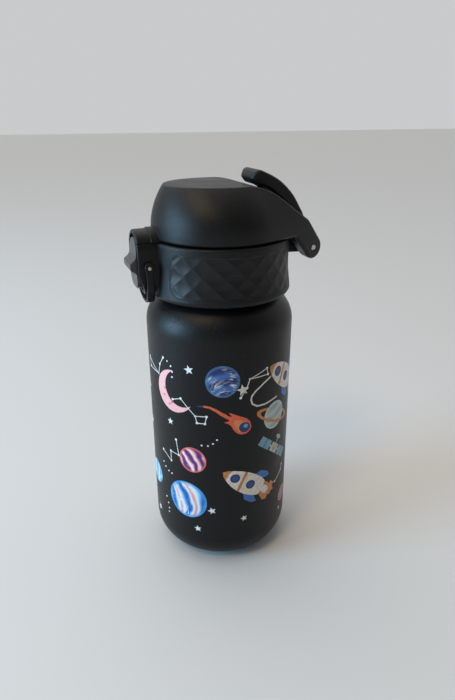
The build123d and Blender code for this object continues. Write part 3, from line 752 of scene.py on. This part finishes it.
linework = {"thread": 0.36, "joint": 0.62, "jointSides": 14, "dot": 0.46, "dotSides": 12,
            "tether": 0.8}
constellations = [
    [(-68.0, 113.5), (-72.5, 109.3), (-74.7, 104.1), (-89.3, 104.6), (-91.3, 109.0),
     (-74.7, 104.1)],
    [(-59.4, 94.0), (-51.8, 95.7), (-40.0, 88.2), (-38.6, 84.7), (-32.4, 84.7), (-31.1, 88.5),
     (-40.0, 88.2)],
    [(-5.6, 97.7), (-0.7, 102.3), (1.5, 106.5), (16.4, 109.7), (17.6, 106.5), (1.5, 106.5)],
    [(-57.9, 72.4), (-55.6, 64.1), (-64.1, 64.5), (-64.1, 58.9), (-74.0, 62.5)],
    [(42.7, 49.0), (41.0, 46.0), (31.0, 42.5)],
    [(66.0, 104.0), (72.0, 98.0), (80.0, 100.0), (84.0, 92.0)],
]
dots = [(-63.6, 112.6), (-60.1, 110.7), (-58.9, 108.0), (-59.1, 105.4), (-35.4, 72.8),
        (-30.4, 72.9), (-26.5, 74.2), (-23.4, 76.4), (-74.7, 55.0), (-72.0, 52.9),
        (-68.0, 51.5), (-64.3, 51.1), (-73.0, 34.0), (-71.0, 30.5), (-70.0, 27.5),
        (-70.5, 25.0), (60.0, 60.0), (63.5, 62.5), (67.5, 63.5), (71.5, 62.0)]
tether = [(20.5, 104.6), (13.6, 102.5), (6.8, 99.8), (3.4, 97.6), (2.8, 95.6), (4.0, 93.4),
          (8.2, 91.7), (15.5, 91.4), (23.8, 92.0), (28.5, 92.4)]
# ink, degrees, height, radius, lean and layer
stars = [("whiteInk", -44.1, 111.1, 2.4, 12, 1), ("whiteInk", -63.0, 81.4, 1.9, 5, 1),
         ("whiteInk", -28.0, 35.0, 2.2, 20, 1), ("whiteInk", -40.2, 22.6, 2.0, 8, 1),
         ("whiteInk", -1.5, 28.9, 1.9, 15, 1), ("whiteInk", -87.6, 21.5, 2.1, 30, 1),
         ("whiteInk", 58.0, 88.0, 2.2, 10, 1), ("whiteInk", 70.0, 40.0, 2.0, 25, 1),
         ("whiteInk", 82.0, 72.0, 2.3, 5, 1), ("whiteInk", 64.0, 113.0, 1.9, 18, 1),
         ("whiteInk", 40.9, 21.6, 1.2, 20, 1), ("creamInk", -3.9, 101.6, 2.9, 10, 4)]

# printing on the body

printing = {"sink": 0.05, "film": 0.03, "layer": 0.02, "strip": 1.5, "weld": 1e-5}


def addPrint(name, degrees, up, shapes):
    # cuts the outlines into strips, gives them a film's thickness and wraps them on the body
    used = []
    bm = bmesh.new()
    for inkName, points, layer in shapes:
        if inkName not in used:
            used.append(inkName)
        corners = [bm.verts.new((x, y, 0)) for x, y in points]
        face = bm.faces.new(corners)
        face.normal_update()
        face.material_index = used.index(inkName)
        bmesh.ops.triangulate(bm, faces=[face])
        for v in corners:
            v.co.z = printing["layer"] * layer
    widest = max(abs(v.co.x) for v in bm.verts)
    cuts = int(widest / printing["strip"]) + 1
    for i in range(-cuts, cuts + 1):
        bmesh.ops.bisect_plane(bm, geom=bm.verts[:] + bm.edges[:] + bm.faces[:],
                               dist=printing["weld"], plane_co=(i * printing["strip"], 0, 0),
                               plane_no=(1, 0, 0))
    uv = bm.loops.layers.uv.new("flat")
    for face in bm.faces:
        for loop in face.loops:
            loop[uv].uv = loop.vert.co.xy
    made = bmesh.ops.extrude_face_region(bm, geom=bm.faces[:])
    top = {g for g in made["geom"] if isinstance(g, bmesh.types.BMVert)}
    for v in bm.verts:
        v.co.z = v.co.z + printing["film"] if v in top else -printing["sink"]
    bmesh.ops.recalc_face_normals(bm, faces=bm.faces)
    for v in bm.verts:
        turn = math.radians(degrees) + v.co.x / bodyRadius
        radius = (bodyRadius + v.co.z) * mm
        v.co = (radius * math.cos(turn), radius * math.sin(turn), (up + v.co.y) * mm)
    addPiece(name, bm, [inks[i] for i in used], "bottle")


def skyPlace(points):
    # (degrees, height) pairs to flat millimetres
    return [(math.radians(a) * bodyRadius, z) for a, z in points]


def lineShapes():
    shapes = []
    for path in constellations:
        points = skyPlace(path)
        shapes += [("whiteInk", lineShape(a, b, linework["thread"]), 3)
                   for a, b in zip(points, points[1:])]
        shapes += [("whiteInk", disc(linework["joint"], *p, sides=linework["jointSides"]), 3)
                   for p in points]
    shapes += [("whiteInk", disc(linework["dot"], *p, sides=linework["dotSides"]), 1)
               for p in skyPlace(dots)]
    points = skyPlace(tether)
    shapes += [("creamInk", lineShape(a, b, linework["tether"]), 0)
               for a, b in zip(points, points[1:])]
    shapes += [("creamInk", disc(linework["tether"] / 2, *p, sides=linework["jointSides"]), 0)
               for p in points]
    return shapes


def starShapes():
    shapes = []
    for name, degrees, height, radius, lean, layer in stars:
        u, v = skyPlace([(degrees, height)])[0]
        shapes.append((name, starShape(radius, u, v, lean), layer))
    return shapes


def printSky(label, turn):
    for name, motif in motifs.items():
        addPrint("print" + name + label, motif["turn"] + turn, motif["up"], motif["shapes"])
    addPrint("printConstellations" + label, turn, 0, lineShapes())
    addPrint("printStars" + label, turn, 0, starShapes())


printSky("Front", 0)
printSky("Back", 180)
print("the night sky is printed on the body")

# floor

ground = {"halfSize": 6.0, "colour": (0.60, 0.60, 0.595), "rough": 0.75}


def paleFloor():
    bm = bmesh.new()
    bmesh.ops.create_grid(bm, x_segments=1, y_segments=1, size=ground["halfSize"])
    mesh = bpy.data.meshes.new("floor")
    bm.to_mesh(mesh)
    bm.free()
    floor = bpy.data.objects.new("floor", mesh)
    bpy.context.collection.objects.link(floor)
    material, tree, shader = startMaterial("floorPaint")
    shader.inputs["Base Color"].default_value = (*ground["colour"], 1)
    shader.inputs["Roughness"].default_value = ground["rough"]
    mesh.materials.append(material)


paleFloor()
print("the floor is down")
